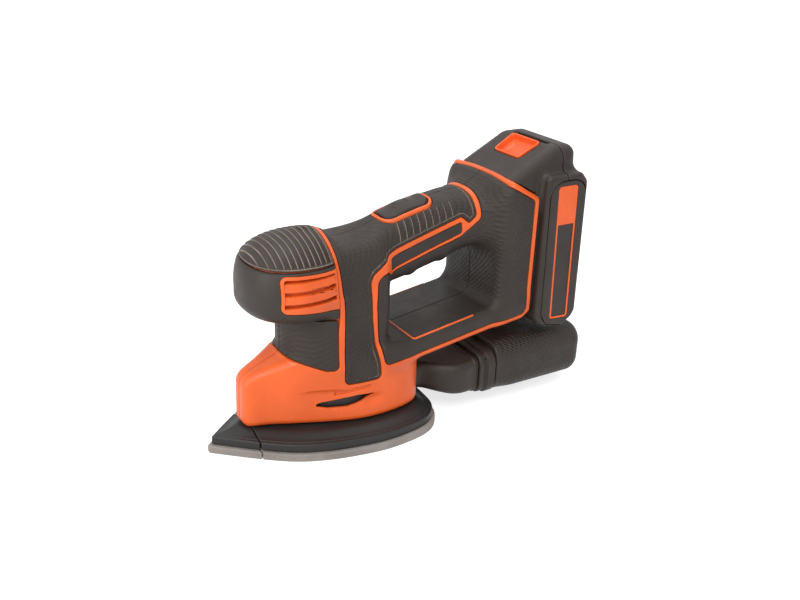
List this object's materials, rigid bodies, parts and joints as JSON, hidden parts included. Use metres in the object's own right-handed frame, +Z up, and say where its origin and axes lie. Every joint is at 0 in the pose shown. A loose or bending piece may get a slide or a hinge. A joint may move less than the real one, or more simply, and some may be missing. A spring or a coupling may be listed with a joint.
{
  "type": "detail mouse sander",
  "caption": "Cordless detail sander with a pointed orbital pad, a loop handle, a slide-on battery and a pull-off dust canister.",
  "frame": {"origin": "on the motor's axis, at the pad's sanding face", "axes": "+X towards the battery and -X towards the pad's tip, +Z up out of the sanding face, +Y to the tool's right side when it is pushed tip first"},
  "size_m": [0.2625, 0.097, 0.172],
  "materials": {
    "housing_orange": "satin moulded ABS, bright orange",
    "grille_orange": "satin moulded ABS, bright orange, louvred",
    "bezel_orange": "satin moulded ABS, bright orange",
    "button_orange": "satin moulded plastic, dished thumb face",
    "cover_grey": "warm grey soft cover with a fine raised diamond texture",
    "palm_grey": "warm grey soft palm rest with raised ribs",
    "head_grey": "warm grey smooth soft cover",
    "rocker_grey": "warm grey soft switch boot",
    "dust_grey": "warm grey moulded plastic with a fine knurl",
    "pack_grey": "warm grey moulded plastic, fine spark texture",
    "platen_black": "near-black moulded plastic",
    "foam_grey": "grey foam with a hook face",
    "post_rubber": "black rubber",
    "steel": "plain ground steel",
    "screw_steel": "blackened steel screw",
    "magnet": "dark ferrite",
    "carbon": "pressed carbon",
    "black_plastic": "black moulded plastic",
    "bracket_plastic": "glass-filled black plastic",
    "windings": "copper windings on steel laminations",
    "commutator_copper": "turned copper segments",
    "fan_plastic": "off-white moulded plastic",
    "board_green": "green circuit board",
    "cell_wrap": "blue shrink wrap",
    "filter_paper": "off-white pleated paper",
    "wire_red": "red insulated lead",
    "wire_black": "black insulated lead"
  },
  "bodies": {
    "housing": {"housing_left": "housing_orange", "housing_right": "housing_orange", "vent_grille_left": "grille_orange", "vent_grille_right": "grille_orange", "switch_bezel": "bezel_orange", "neck_cover_left": "cover_grey", "neck_cover_right": "cover_grey", "grip_cover_left": "cover_grey", "grip_cover_right": "cover_grey", "rear_cover_left": "cover_grey", "rear_cover_right": "cover_grey", "palm_grip": "palm_grey", "head_cover": "head_grey", "dust_duct": "dust_grey", "rubber_post_1": "post_rubber", "rubber_post_2": "post_rubber", "rubber_post_3": "post_rubber", "rubber_post_4": "post_rubber", "motor_can": "steel", "upper_bearing": "steel", "lower_bearing": "steel", "housing_screw_1": "screw_steel", "housing_screw_2": "screw_steel", "housing_screw_3": "screw_steel", "housing_screw_4": "screw_steel", "magnet_left": "magnet", "magnet_right": "magnet", "brush_left": "carbon", "brush_right": "carbon", "motor_end_cap": "black_plastic", "switch_body": "black_plastic", "terminal_block": "black_plastic", "bearing_bracket": "bracket_plastic", "wire_red": "wire_red", "wire_black": "wire_black"},
    "rotor": {"motor_shaft": "steel", "rotor_core": "windings", "commutator": "commutator_copper", "cooling_fan": "fan_plastic", "crank": "steel", "counterweight": "steel"},
    "pad": {"platen": "platen_black", "platen_tip": "platen_black", "foam_main": "foam_grey", "foam_tip": "foam_grey", "pad_bearing": "steel"},
    "switch": {"switch_rocker": "rocker_grey"},
    "battery": {"battery_front": "pack_grey", "battery_rear": "pack_grey", "contact_board": "board_green", "latch_spring": "steel", "cell_1": "cell_wrap", "cell_2": "cell_wrap", "cell_3": "cell_wrap", "cell_4": "cell_wrap", "cell_5": "cell_wrap"},
    "latch": {"release_button": "button_orange"},
    "dust_box": {"canister_collar": "dust_grey", "dust_canister": "dust_grey", "dust_filter": "filter_paper"}
  },
  "joints": [
    {"name": "motor_spin", "type": "hinge", "parent": "housing", "child": "rotor", "pos_m": [0, 0, 0.06], "axis": [0, 0, 1], "continuous": true},
    {"name": "pad_orbit", "type": "hinge", "parent": "rotor", "child": "pad", "pos_m": [0.0008, 0, 0.0103], "axis": [0, 0, 1], "continuous": true},
    {"name": "power_switch", "type": "hinge", "parent": "housing", "child": "switch", "pos_m": [0.055, 0, 0.1361], "axis": [0, 1, 0], "range_deg": [-3, 3]},
    {"name": "battery_slide", "type": "slide", "parent": "housing", "child": "battery", "axis": [0, 0, 1], "range_m": [0, 0.115]},
    {"name": "latch_press", "type": "slide", "parent": "battery", "child": "latch", "axis": [0.4695, 0, -0.8829], "range_m": [0, 0.003], "stiffness_N_per_m": 600, "deforming": ["latch_spring"]},
    {"name": "canister_pull", "type": "slide", "parent": "housing", "child": "dust_box", "axis": [1, 0, 0], "range_m": [0, 0.08]}
  ],
  "couplings": [
    {"joint": "pad_orbit", "follows": "motor_spin", "ratio": -1}
  ]
}
